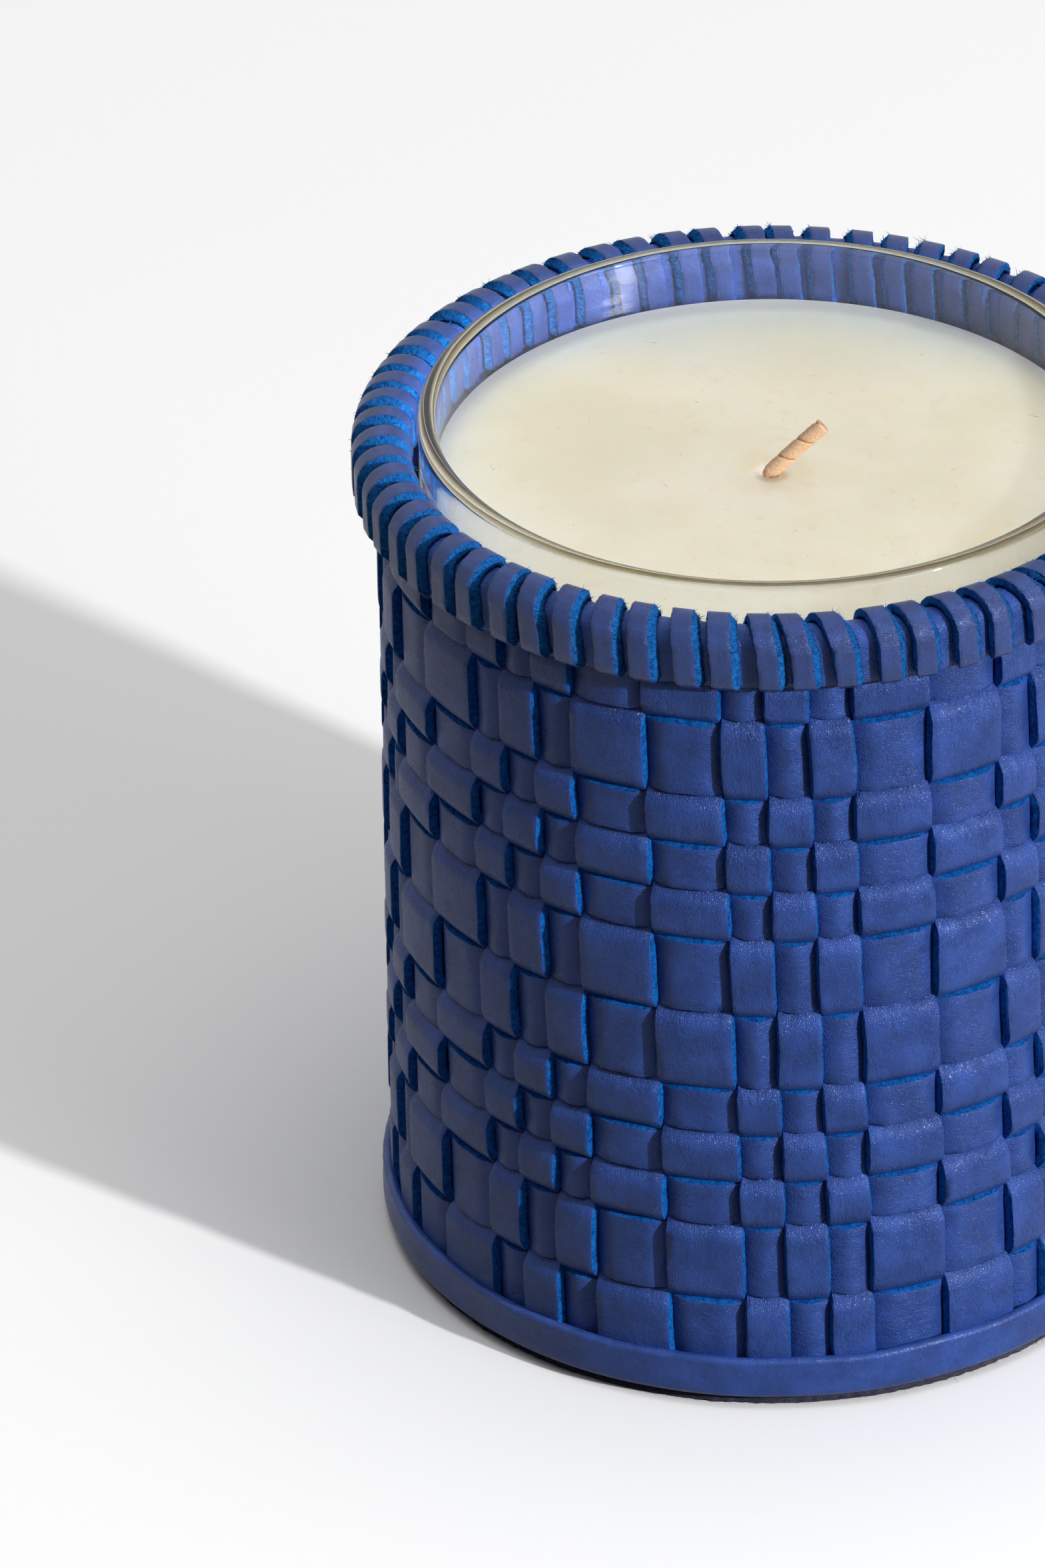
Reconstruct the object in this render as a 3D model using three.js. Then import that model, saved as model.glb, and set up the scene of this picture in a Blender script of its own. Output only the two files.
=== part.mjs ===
// A container candle in a woven leather holder.
//
// The holder is a cup: a board base in a leather cover on a felt pad, a lining tube, and round the tube a
// hide that is slit into uprights, with leather strips ("weavers") passed over one upright and under the
// next. A rolled rim, bound in leather and whipped with a flat lace, closes the top. A glass of wax with
// one wick stands inside and lifts out.
//
// Millimetres, +Z up, origin on the table under the middle of the base. The front faces -Y.

import * as THREE from "three";
import { mergeVertices } from "three/addons/utils/BufferGeometryUtils.js";

// Glass, wax and wick.
const glassRadius = 44;
const glassHeight = 111.5;
const glassWall = 2.2;
const glassFloor = 5;
const glassFootRounding = 4;
const glassHeelRounding = 3;
const waxDrop = 8.2; // from the glass rim down to the edge of the wax
const waxDish = 1.4; // how much lower the wax is at the wick
const waxLipWidth = 2; // the wax climbs the glass over this width
const waxShrink = 0.25; // the cooled wax stands this far off the glass
const wickRadius = 0.95;
const wickProud = 7.6; // height of the wick tip above the wax at its foot
const wickLean = 5.6; // how far the tip leans to the right
const wickLeanBack = 1;
const wickBendPower = 1.5;
const wickStraightShare = 0.2; // of the curve's parameter, spent on the straight stretch in the wax
const wickBoreClearance = 0.3;
const tabRadius = 8;
const tabThickness = 0.5;
const tabNeckHeight = 6;
const tabNeckWall = 0.6;
const stickerRadius = 6.5;
const stickerThickness = 0.8;

// Base of the holder.
const feltThickness = 1.6;
const feltInset = 0.9; // the felt stops this far inside the cover's edge
const coverThickness = 1;
const coverHeight = 5.8;
const coverRounding = 1;
const coverClearance = 0.45; // between the woven wall and the cover's upstand
const boardThickness = 2; // also the height of the hide's uncut foot
const boardClearance = 0.35; // between the board's edge and the foot of the slit hide
const seatPadThickness = 0.8;
const seatClearance = 0.3; // the glass stands this far clear of the pad

// Woven wall.
const liningThickness = 0.8;
const glassClearance = 1; // between the glass and the lining
const liningClearance = 0.06;
const stripThickness = 0.8;
const weaveClearance = 0.2;
const uprightCount = 42; // even, so that the weave closes on itself
const slitWidth = 0.35;
const uprightWideShare = 1.86; // of a narrow upright
const weaverCount = 12;
const weaverWideShare = 1.69; // of a narrow weaver
const weaverTopShare = 0.855; // the top weaver is trimmed under the rim
const weaverGap = 1;
const weaverSwell = 0.32; // how far a weaver bends out and in at each upright
const wallLean = 4.2; // degrees that the uprights lean round the holder from foot to rim
const firstUprightAngle = -154.8; // degrees from the front, at mid height

// Rim: a core ring in a folded leather binding, whipped with a flat lace.
const rimCoreHalfWidth = 1.1;
const rimCoreHeight = 5.1;
const rimLayerGap = 0.3;
const bindingThickness = 0.95;
const laceThickness = 1.05;
const laceWidth = 3.2;
const laceTurns = 64;
const laceSlant = 0.8; // degrees that the lace leans along one side of the rim
const rimSeatGap = 0.3;
const rimOutset = 1.15; // the rim's middle stands this far outside the middle of the woven wall
const glassProud = 1.8; // the glass stands this far above the whipped rim

// Faces of the round pieces.
const roundSteps = 36;
const smallSteps = 12;

const fullTurn = 2 * Math.PI;
const radians = THREE.MathUtils.degToRad;

// Radii and heights that follow from the sizes above.
const liningInner = glassRadius + glassClearance;
const liningOuter = liningInner + liningThickness;
const broadestUpright = fullTurn / uprightCount * 1.4;
const chordSag = (radius) => radius * (1 - Math.cos(broadestUpright / 2));
const uprightSwell = stripThickness + weaveClearance;
const wallInner = liningOuter + liningClearance + chordSag(liningOuter);
const wallMiddle = wallInner + uprightSwell + stripThickness / 2;
const wallOuter = wallMiddle + uprightSwell + stripThickness / 2;
const coverInner = wallOuter + coverClearance;
const coverOuter = coverInner + coverThickness;
const coverTop = feltThickness + coverHeight;
const boardBottom = feltThickness + coverThickness;
const boardTop = boardBottom + boardThickness;
const seatTop = boardTop + seatPadThickness;
const glassBottom = seatTop + seatClearance;
const glassTop = glassBottom + glassHeight;
const glassInner = glassRadius - glassWall;
const glassFloorTop = glassBottom + glassFloor;
const waxEdge = glassTop - waxDrop;
const waxMiddle = waxEdge - waxDish;

// The rim from the lace at the top down to the top of the woven wall. Its outline has two straight sides and
// three flats over the top, and the binding and the lace are offsets of it.
const topFlats = 3;
const topRise = Math.sin(radians(180 / topFlats));
const rimMiddle = wallMiddle + rimOutset;
const bindingInner = rimCoreHalfWidth + rimLayerGap;
const bindingOuter = bindingInner + bindingThickness;
const laceInner = bindingOuter + rimLayerGap;
const laceOuter = laceInner + laceThickness;
const shoulderHeight = glassTop - glassProud - laceOuter * topRise;
const coreTop = shoulderHeight + bindingOuter * topRise - bindingThickness - rimLayerGap;
const coreFoot = coreTop - rimCoreHeight;
const laceFoot = coreFoot - rimLayerGap - laceThickness;
const wallTop = laceFoot - rimSeatGap;
const wallFoot = boardTop;
const wallMiddleHeight = (wallFoot + wallTop) / 2;

// The weavers from the foot up: two wide and three narrow, over and over, with a trimmed one at the top.
const isWide = (index) => index % 5 < 2;
const weaverShares = Array.from({ length: weaverCount }, (_, k) => {
  if (k === weaverCount - 1) return weaverTopShare;
  return isWide(k) ? weaverWideShare : 1;
});
const allWeaverShares = weaverShares.reduce((sum, share) => sum + share);
const narrowWeaver = (wallTop - wallFoot - weaverCount * weaverGap) / allWeaverShares;
const weavers = [];
for (let k = 0, foot = wallFoot; k < weaverCount; k++) {
  const bottom = foot + weaverGap / 2;
  const top = bottom + narrowWeaver * weaverShares[k];
  weavers.push({ bottom, top });
  foot = top + weaverGap / 2;
}

// The uprights round the holder, in the same order of widths.
const wallLength = fullTurn * wallMiddle;
const wideUprights = Array.from({ length: uprightCount }, (_, i) => isWide(i)).filter(Boolean).length;
const shares = wideUprights * uprightWideShare + uprightCount - wideUprights;
const narrowUpright = (wallLength - uprightCount * slitWidth) / shares;
const uprights = [];
for (let i = 0, start = radians(firstUprightAngle); i < uprightCount; i++) {
  const width = isWide(i) ? narrowUpright * uprightWideShare : narrowUpright;
  const left = start + slitWidth / 2 / wallMiddle;
  const right = left + width / wallMiddle;
  uprights.push({ left, right, middle: (left + right) / 2 });
  start = right + slitWidth / 2 / wallMiddle;
}

// An upright keeps its place on the table's plan only at mid height: it leans to the left going up.
function leanAt(height) {
  return -radians(wallLean) * (height - wallMiddleHeight) / (wallTop - wallFoot);
}

// +1 where the upright passes outside the weaver and -1 where it passes behind it.
const outside = (upright, weaver) => ((upright + weaver) % 2 === 0 ? -1 : 1);

// A point round the axis, with the angle taken from the front towards the right.
function around(angle, radius, height) {
  return new THREE.Vector3(Math.sin(angle) * radius, -Math.cos(angle) * radius, height);
}

function meshOf(name, geometry, material) {
  const mesh = new THREE.Mesh(geometry, material);
  mesh.name = name;
  return mesh;
}

function finish(color, roughness, metalness = 0) {
  return new THREE.MeshStandardMaterial({ color, roughness, metalness });
}

const materials = {
  hide: finish(0x39478c, 0.5),
  weaver: finish(0x3f4e98, 0.48),
  binding: finish(0x303c7c, 0.5),
  lace: finish(0x43539f, 0.5),
  lining: finish(0x2b3566, 0.7),
  core: finish(0x8d7a5f, 0.85),
  board: finish(0x9a8a70, 0.85),
  felt: finish(0x23264a, 0.95),
  glass: new THREE.MeshStandardMaterial({
    color: 0xe9eeee,
    roughness: 0.04,
    metalness: 0,
    transparent: true,
    opacity: 0.35,
  }),
  wax: finish(0xe8dfc6, 0.55),
  wick: finish(0xd9b69a, 0.85),
  tin: finish(0xb9bcc0, 0.35, 1),
  sticker: finish(0xf0efe9, 0.8),
};

// A closed ring or disc turned round the axis. A profile that doesn't start on the axis closes on itself.
function turned(profile, steps = roundSteps) {
  const points = profile.map(([radius, height]) => new THREE.Vector2(radius, height));
  const first = points[0];
  const last = points.at(-1);
  if (first.x > 0 || last.x > 0) points.push(first.clone());
  const lathe = new THREE.LatheGeometry(points, steps);
  lathe.rotateX(Math.PI / 2);
  return lathe;
}

// Points of a quarter or half circle in a profile, both ends included.
function arc(radius, height, size, from, to, steps) {
  const points = [];
  for (let i = 0; i <= steps; i++) {
    const turn = radians(from + (to - from) * i / steps);
    points.push([radius + size * Math.cos(turn), height + size * Math.sin(turn)]);
  }
  return points;
}

// Leather of even thickness wrapped round the axis as a grid of cells. middle(i, j) gives the angle, radius
// and height of a grid corner, and filled(i, j) says which cells are leather. The grid closes on itself.
function wrappedLeather(across, along, thickness, middle, filled) {
  const positions = [];
  for (let j = 0; j < along; j++) {
    for (let i = 0; i < across; i++) {
      const [angle, radius, height] = middle(i, j);
      positions.push(...around(angle, radius + thickness / 2, height));
      positions.push(...around(angle, radius - thickness / 2, height));
    }
  }
  const corner = (i, j, inner) => 2 * (j * across + (i + across) % across) + inner;
  const isLeather = (i, j) => j >= 0 && j < along - 1 && filled((i + across) % across, j);
  const index = [];
  const quad = (a, b, c, d) => index.push(a, b, c, a, c, d);
  for (let j = 0; j < along - 1; j++) {
    for (let i = 0; i < across; i++) {
      if (!isLeather(i, j)) continue;
      const [a, b, c, d] = [corner(i, j, 0), corner(i + 1, j, 0), corner(i + 1, j + 1, 0), corner(i, j + 1, 0)];
      quad(a, b, c, d);
      quad(b + 1, a + 1, d + 1, c + 1);
      if (!isLeather(i - 1, j)) quad(a + 1, a, d, d + 1);
      if (!isLeather(i + 1, j)) quad(b, b + 1, c + 1, c);
      if (!isLeather(i, j - 1)) quad(a + 1, b + 1, b, a);
      if (!isLeather(i, j + 1)) quad(d, c, c + 1, d + 1);
    }
  }
  const geometry = new THREE.BufferGeometry();
  geometry.setAttribute("position", new THREE.Float32BufferAttribute(positions, 3));
  geometry.setIndex(index);
  const used = mergeVertices(geometry.toNonIndexed());
  used.computeVertexNormals();
  return used;
}

// The hide: an uncut foot, and from it one upright after another that bends out round a weaver and in
// behind the next. Grid lines stand at both edges of each upright, and lie at both edges of each weaver.
function slitHide() {
  const levels = [{ height: boardBottom, weaver: -1 }, { height: wallFoot, weaver: -1 }];
  weavers.forEach((weaver, k) => levels.push(
    { height: weaver.bottom, weaver: k },
    { height: weaver.top, weaver: k },
  ));
  const middle = (i, j) => {
    const which = Math.floor(i / 2);
    const { height, weaver } = levels[j];
    const edge = i % 2 === 0 ? uprights[which].left : uprights[which].right;
    const swell = weaver < 0 ? 0 : outside(which, weaver) * uprightSwell;
    return [edge + leanAt(height), wallMiddle + swell, height];
  };
  const filled = (i, j) => i % 2 === 0 || j === 0;
  return wrappedLeather(2 * uprightCount, levels.length, stripThickness, middle, filled);
}

// One weaver: a closed band that bends in behind an upright and out round the next.
function weaverBand(k) {
  const { bottom, top } = weavers[k];
  const bandMiddle = wallMiddle + chordSag(wallMiddle) / 3;
  const middle = (i, j) => {
    const height = j === 0 ? bottom : top;
    const angle = uprights[i].middle + leanAt((bottom + top) / 2);
    return [angle, bandMiddle - outside(i, k) * weaverSwell, height];
  };
  return wrappedLeather(uprightCount, 2, stripThickness, middle, () => true);
}

// The rim's outline in the plane through the axis, at a distance from its middle line.
function rimOutline(halfWidth, foot) {
  const top = arc(rimMiddle, shoulderHeight, halfWidth, 0, 180, topFlats);
  return [[rimMiddle + halfWidth, foot], ...top, [rimMiddle - halfWidth, foot]];
}

// The core: a board ring that gives the rim its body, in the channel of the folded binding.
function rimCore() {
  return turned([
    [rimMiddle + rimCoreHalfWidth, coreFoot],
    [rimMiddle + rimCoreHalfWidth, coreTop],
    [rimMiddle - rimCoreHalfWidth, coreTop],
    [rimMiddle - rimCoreHalfWidth, coreFoot],
  ]);
}

function rimBinding() {
  return turned([
    ...rimOutline(bindingOuter, coreFoot),
    [rimMiddle - bindingInner, coreFoot],
    [rimMiddle - bindingInner, coreTop + rimLayerGap],
    [rimMiddle + bindingInner, coreTop + rimLayerGap],
    [rimMiddle + bindingInner, coreFoot],
  ]);
}

// The lace: one flat strip wound round the rim. Each turn goes up outside, over the top, down inside and
// back under the rim, where most of the step to the next turn is made.
function laceRoute() {
  const outerCorners = rimOutline(laceOuter, laceFoot);
  const innerCorners = rimOutline(laceInner, laceFoot + laceThickness);
  const perTurn = outerCorners.length;
  const route = [];
  for (let turn = 0; turn < laceTurns; turn++) {
    for (let k = 0; k < perTurn; k++) {
      const slanted = 2 * laceSlant * k / (perTurn - 1);
      const angle = radians(180 + 360 * turn / laceTurns + slanted);
      route.push(laceSection(angle, outerCorners[k], innerCorners[k]));
    }
  }
  return route;
}

// The lace's four corners at one place: the two outer ones, then the two inner ones.
function laceSection(angle, outer, inner) {
  const side = new THREE.Vector3(Math.cos(angle), Math.sin(angle), 0).multiplyScalar(laceWidth / 2);
  return [[outer, -1], [outer, 1], [inner, 1], [inner, -1]].map(
    ([[radius, height], sign]) => around(angle, radius, height).addScaledVector(side, sign),
  );
}

function flatLace() {
  const route = laceRoute();
  const index = [];
  const quad = (a, b, c, d) => index.push(a, b, c, a, c, d);
  for (let k = 0; k < route.length - 1; k++) {
    for (let s = 0; s < 4; s++) {
      const next = (s + 1) % 4;
      quad(4 * k + s, 4 * k + next, 4 * k + 4 + next, 4 * k + 4 + s);
    }
  }
  const end = 4 * (route.length - 1);
  quad(3, 2, 1, 0);
  quad(end, end + 1, end + 2, end + 3);
  const geometry = new THREE.BufferGeometry().setFromPoints(route.flat());
  geometry.setIndex(index);
  geometry.computeVertexNormals();
  return geometry;
}

// The least distance between the facing edges of the first two turns, measured on points along them.
function laceGap() {
  const route = laceRoute();
  const perTurn = route.length / laceTurns;
  const pointsPerStep = 12;
  const edge = (first, corner) => {
    const points = [];
    for (let k = first; k < first + perTurn; k++) {
      for (let p = 0; p < pointsPerStep; p++) {
        points.push(route[k][corner].clone().lerp(route[k + 1][corner], p / pointsPerStep));
      }
    }
    return points;
  };
  const facing = [[1, 0], [2, 3], [1, 3], [2, 0]];
  return Math.min(...facing.flatMap(([a, b]) => edge(0, a).flatMap(
    (point) => edge(perTurn, b).map((other) => point.distanceTo(other)),
  )));
}

// The felt pad under the base, and the leather cover: a shallow tray with a rounded lip and foot.
function baseFelt() {
  const radius = coverOuter - feltInset;
  return turned([[0, 0], [radius, 0], [radius, feltThickness], [0, feltThickness]]);
}

function baseCover() {
  const lip = coverThickness / 2;
  const foot = arc(coverOuter - coverRounding, feltThickness + coverRounding, coverRounding, -90, 0, 2);
  const top = arc(coverOuter - lip, coverTop - lip, lip, 0, 180, 2);
  return turned([[0, feltThickness], ...foot, ...top, [coverInner, boardBottom], [0, boardBottom]]);
}

function disc(radius, bottom, thickness, steps = roundSteps) {
  return turned([[0, bottom], [radius, bottom], [radius, bottom + thickness], [0, bottom + thickness]], steps);
}

// The lining: a leather tube that stands on the board and backs the whole woven wall.
function liningTube() {
  return turned([
    [liningInner, boardTop],
    [liningOuter, boardTop],
    [liningOuter, wallTop],
    [liningInner, wallTop],
  ]);
}

// The glass: a straight tumbler with a rounded foot and a fire-polished rim.
function glassCup() {
  const rim = glassWall / 2;
  const heelRadius = glassInner - glassHeelRounding;
  const heelHeight = glassFloorTop + glassHeelRounding;
  return turned([
    [0, glassBottom],
    ...arc(glassRadius - glassFootRounding, glassBottom + glassFootRounding, glassFootRounding, -90, 0, 3),
    ...arc(glassRadius - rim, glassTop - rim, rim, 0, 180, 3),
    ...arc(heelRadius, heelHeight, glassHeelRounding, 0, -90, 2),
    [0, glassFloorTop],
  ]);
}

// The wick's holder under the wax: a sticker, and on it a tin tab with a neck that grips the wick.
const tabBottom = glassFloorTop + stickerThickness;
const tabTop = tabBottom + tabThickness;
const neckTop = tabTop + tabNeckHeight;
const wickBore = wickRadius + wickBoreClearance;
const neckRadius = wickBore + tabNeckWall;

function wickTab() {
  return turned([
    [wickBore, tabBottom],
    [tabRadius, tabBottom],
    [tabRadius, tabTop],
    [neckRadius, tabTop],
    [neckRadius, neckTop],
    [wickBore, neckTop],
  ], smallSteps);
}

// The wax, cast round the wick and its tab, with a shallow dish at the wick and a lip up the glass.
function waxFill() {
  const radius = glassInner - waxShrink;
  const bottom = glassFloorTop + waxShrink;
  const hollow = tabRadius + waxShrink;
  const throat = neckRadius + waxShrink;
  return turned([
    [hollow, bottom],
    [radius - glassHeelRounding, bottom],
    [radius, bottom + glassHeelRounding],
    [radius, waxEdge],
    [radius - waxLipWidth, waxEdge - waxDish / 2],
    [wickBore, waxMiddle],
    [wickBore, neckTop + waxShrink],
    [throat, neckTop + waxShrink],
    [throat, tabTop + waxShrink],
    [hollow, tabTop + waxShrink],
  ]);
}

// The wick stands straight through the wax and leans over to the right above it. Its steps are spaced by
// the parameter itself, so that nearly all of them lie on the bend.
class WickLine extends THREE.Curve {
  getUtoTmapping(share) {
    return share;
  }

  getPoint(t) {
    const up = THREE.MathUtils.lerp(tabBottom, waxMiddle, Math.min(1, t / wickStraightShare));
    const bend = Math.max(0, (t - wickStraightShare) / (1 - wickStraightShare));
    const lean = bend ** wickBendPower;
    return new THREE.Vector3(wickLean * lean, wickLeanBack * lean, up + wickProud * bend);
  }
}

function wickCord() {
  const section = new THREE.Shape();
  section.absarc(0, 0, wickRadius, 0, fullTurn);
  return new THREE.ExtrudeGeometry(section, {
    steps: 10,
    extrudePath: new WickLine(),
    curveSegments: 4,
  });
}

const holder = new THREE.Group();
holder.add(
  meshOf("base_felt", baseFelt(), materials.felt),
  meshOf("base_cover", baseCover(), materials.binding),
  meshOf("base_board", disc(wallMiddle - stripThickness / 2 - boardClearance, boardBottom, boardThickness),
    materials.board),
  meshOf("seat_pad", disc(liningInner - boardClearance, boardTop, seatPadThickness), materials.felt),
  meshOf("wall_lining", liningTube(), materials.lining),
  meshOf("slit_hide", slitHide(), materials.hide),
  meshOf("rim_core", rimCore(), materials.core),
  meshOf("rim_binding", rimBinding(), materials.binding),
  meshOf("rim_lace", flatLace(), materials.lace),
);
weavers.forEach((_, k) => {
  const number = String(k + 1).padStart(2, "0");
  holder.add(meshOf(`weaver_${number}`, weaverBand(k), materials.weaver));
});

const candle = new THREE.Group();
candle.add(
  meshOf("glass_cup", glassCup(), materials.glass),
  meshOf("wax_fill", waxFill(), materials.wax),
  meshOf("wick", wickCord(), materials.wick),
  meshOf("wick_tab", wickTab(), materials.tin),
  meshOf("wick_sticker", disc(stickerRadius, glassFloorTop, stickerThickness, smallSteps), materials.sticker),
);

const part = new THREE.Group();
part.add(holder, candle);

console.log(`lace: ${laceTurns} turns, least gap ${laceGap().toFixed(2)} mm`);
console.log(`wall top ${wallTop.toFixed(2)}, glass top ${glassTop.toFixed(2)}, wall outer ${wallOuter.toFixed(2)}`);

export default part;
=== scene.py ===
# %% [markdown]
# # A candle in a woven leather holder
# This lesson dresses a measured frame: a glass candle that stands in a cup woven from blue leather strips.
# The frame gives every size and place, and each cell makes one piece or one finish of the real object.
# Lengths are in metres, +Z is up, and the front of the holder faces -Y.

import math

import bpy
import numpy as np
from mathutils import Matrix, Vector


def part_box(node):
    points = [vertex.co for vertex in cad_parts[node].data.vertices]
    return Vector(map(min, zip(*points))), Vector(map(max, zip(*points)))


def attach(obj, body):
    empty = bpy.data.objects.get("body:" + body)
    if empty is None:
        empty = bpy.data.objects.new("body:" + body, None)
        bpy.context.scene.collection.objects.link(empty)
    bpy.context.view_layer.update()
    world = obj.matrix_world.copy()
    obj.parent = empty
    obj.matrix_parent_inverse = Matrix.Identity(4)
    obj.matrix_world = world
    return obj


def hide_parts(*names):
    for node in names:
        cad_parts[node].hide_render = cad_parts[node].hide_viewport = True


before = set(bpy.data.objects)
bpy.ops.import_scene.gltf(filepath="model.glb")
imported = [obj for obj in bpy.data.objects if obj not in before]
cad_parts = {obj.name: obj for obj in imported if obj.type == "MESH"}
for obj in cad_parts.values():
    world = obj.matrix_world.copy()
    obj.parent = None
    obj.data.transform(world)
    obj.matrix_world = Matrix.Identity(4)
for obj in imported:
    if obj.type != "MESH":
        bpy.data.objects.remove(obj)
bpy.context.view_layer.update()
MM = 0.001


def show(name, data):
    """Makes an object and puts it in the scene."""
    made = bpy.data.objects.new(name, data)
    bpy.context.scene.collection.objects.link(made)
    return made


# %% [markdown]
# ## Read the sizes off the frame
# A maker measures the blank before cutting leather for it. Here the blank is the frame: its boxes give
# heights, and the distance of its corners from the axis gives radii. Nothing is typed twice.

# %% Sizes of the frame
def foot_of(node):
    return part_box(node)[0].z


def top_of(node):
    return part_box(node)[1].z


def radii_of(node):
    """The least and the greatest distance of a node's corners from the axis."""
    corners = np.array([corner.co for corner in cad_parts[node].data.vertices])
    distance = np.hypot(corners[:, 0], corners[:, 1])
    return float(distance.min()), float(distance.max())


wall_inner, wall_outer = radii_of("slit_hide")
wall_middle = (wall_inner + wall_outer) / 2
wall_foot, wall_top = foot_of("wall_lining"), top_of("wall_lining")
core_inner, core_outer = radii_of("rim_core")
rim_middle = (core_inner + core_outer) / 2
lace_reach = radii_of("rim_lace")[1] - rim_middle
lace_foot, lace_top = foot_of("rim_lace"), top_of("rim_lace")
binding_reach = radii_of("rim_binding")[1] - rim_middle
cover_radius = radii_of("base_cover")[1]
cover_foot, cover_top = foot_of("base_cover"), top_of("base_cover")
glass_radius = radii_of("glass_cup")[1]
glass_foot, glass_top = foot_of("glass_cup"), top_of("glass_cup")
wax_foot, wax_edge = foot_of("wax_fill"), top_of("wax_fill")
print("painted_side_shade", round(wall_inner / MM, 2), "to", round(wall_outer / MM, 2), "mm from the axis")

# %% [markdown]
# ## Camera
# A product photographer stands well back with a long lens and looks down a little, so that the rim shows as
# an open ellipse and the sides stay parallel. The holder sits right of the middle of the picture, and its
# right side runs out of it. The camera is turned towards the middle of the picture instead of being shifted,
# because a turned camera gives the same perspective from one simple place.

# %% Camera
PICTURE = (1568, 2352)
PITCH = math.radians(32.05)
DISTANCE = 1.4549
AIM_HEIGHT = 0.05
AIM_PIXEL = (1156.3, 1294.47)  # where the point at AIM_HEIGHT on the axis falls in the picture
PIXELS_PER_MM = 11.75
SENSOR = 36.0
FARTHEST = 20.0  # the camera sees nothing beyond this

focal_pixels = PIXELS_PER_MM * DISTANCE / MM
back = Vector((0, -math.cos(PITCH), math.sin(PITCH)))
across = Vector((1, 0, 0))
upward = Vector((0, math.sin(PITCH), math.cos(PITCH)))
view = -back
view += across * ((PICTURE[0] / 2 - AIM_PIXEL[0]) / focal_pixels)
view += upward * ((AIM_PIXEL[1] - PICTURE[1] / 2) / focal_pixels)
view.normalize()
picture_up = across.cross(view).normalized()
picture_right = view.cross(picture_up)
axes = Matrix((picture_right, picture_up, -view)).transposed()

camera_data = bpy.data.cameras.new("camera")
camera_data.sensor_fit = "AUTO"
camera_data.sensor_width = SENSOR
camera_data.lens = focal_pixels / max(PICTURE) * SENSOR
camera_data.clip_end = FARTHEST
camera = show("camera", camera_data)
camera_place = Vector((0, 0, AIM_HEIGHT)) + back * DISTANCE
camera.matrix_world = Matrix.Translation(camera_place) @ axes.to_4x4()
bpy.context.scene.camera = camera
bpy.context.scene.view_settings.view_transform = "Standard"
print("lens", round(camera_data.lens, 1), "mm")

# %% [markdown]
# ## Shader helpers
# A finish is a small piece of arithmetic: this noise, times that mask, plus a little of another. Blender
# wants a node for each sign. One class wraps a node's output and answers to Python's own signs, so a finish
# reads like a sum. A second class holds a node tree and makes any other node with one method, and a third
# adds the material and its one Principled shader.

# %% Shader helpers
class Wire:
    """A node's output that +, -, *, ** and abs work on."""

    def __init__(self, tree, socket):
        self.tree = tree
        self.socket = socket

    def through(self, operation, *values):
        return self.tree.node("Math", {"operation": operation}, dict(enumerate(values)))

    def __add__(self, other):
        return self.through("ADD", self, other)

    def __sub__(self, other):
        return self.through("SUBTRACT", self, other)

    def __rsub__(self, other):
        return self.through("SUBTRACT", other, self)

    def __mul__(self, other):
        return self.through("MULTIPLY", self, other)

    def __pow__(self, other):
        return self.through("POWER", self, other)

    def __abs__(self):
        return self.through("ABSOLUTE", self)

    __radd__ = __add__

    def step(self, low, high):
        """0 below low, 1 above high, and a smooth rise between."""
        settings = {"interpolation_type": "SMOOTHSTEP"}
        sockets = {"Value": self, "From Min": low, "From Max": high}
        return self.tree.node("MapRange", settings, sockets)


# %% Node trees
class Tree:
    """A node tree, and one method that makes any node in it."""

    def __init__(self, node_tree):
        self.node_tree = node_tree

    def node(self, kind, settings=None, sockets=None, output=0):
        made = self.node_tree.nodes.new("ShaderNode" + kind)
        for name, value in (settings or {}).items():
            setattr(made, name, value)
        for name, value in (sockets or {}).items():
            if isinstance(value, Wire):
                self.node_tree.links.new(value.socket, made.inputs[name])
            else:
                made.inputs[name].default_value = value
        return Wire(self, made.outputs[output])

    def ray(self, kind):
        """1 for a ray of this kind."""
        return self.node("LightPath", {}, {}, f"Is {kind} Ray")

    def seen(self):
        """1 for a ray that shows this surface to the camera, straight or in glass, metal or gloss."""
        camera_ray, gloss_ray, glass_ray = (self.ray(k) for k in ("Camera", "Glossy", "Transmission"))
        either = camera_ray.through("MAXIMUM", camera_ray, gloss_ray)
        return either.through("MAXIMUM", either, glass_ray)

    def blend(self, first, second, share):
        """The first colour where share is 0, and the second where it is 1."""
        colors = [value if isinstance(value, Wire) else (*value, 1) for value in (first, second)]
        sockets = {0: share, 6: colors[0], 7: colors[1]}
        return self.node("Mix", {"data_type": "RGBA"}, sockets, 2)

    def noise(self, place, scale, detail=3.0, roughness=0.5):
        sockets = {"Vector": place, "Scale": scale, "Detail": detail, "Roughness": roughness}
        return self.node("TexNoise", {}, sockets)

    def stretch(self, place, scale):
        return self.node("VectorMath", {"operation": "MULTIPLY"}, {0: place, 1: scale})

    def part(self, place, axis):
        """One of the three numbers of a place."""
        return self.node("SeparateXYZ", {}, {0: place}, axis)

    def distance(self, place, weights):
        """How far a place lies from the origin, with each direction weighted."""
        sockets = {0: self.stretch(place, weights)}
        return self.node("VectorMath", {"operation": "LENGTH"}, sockets, "Value")


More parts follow.
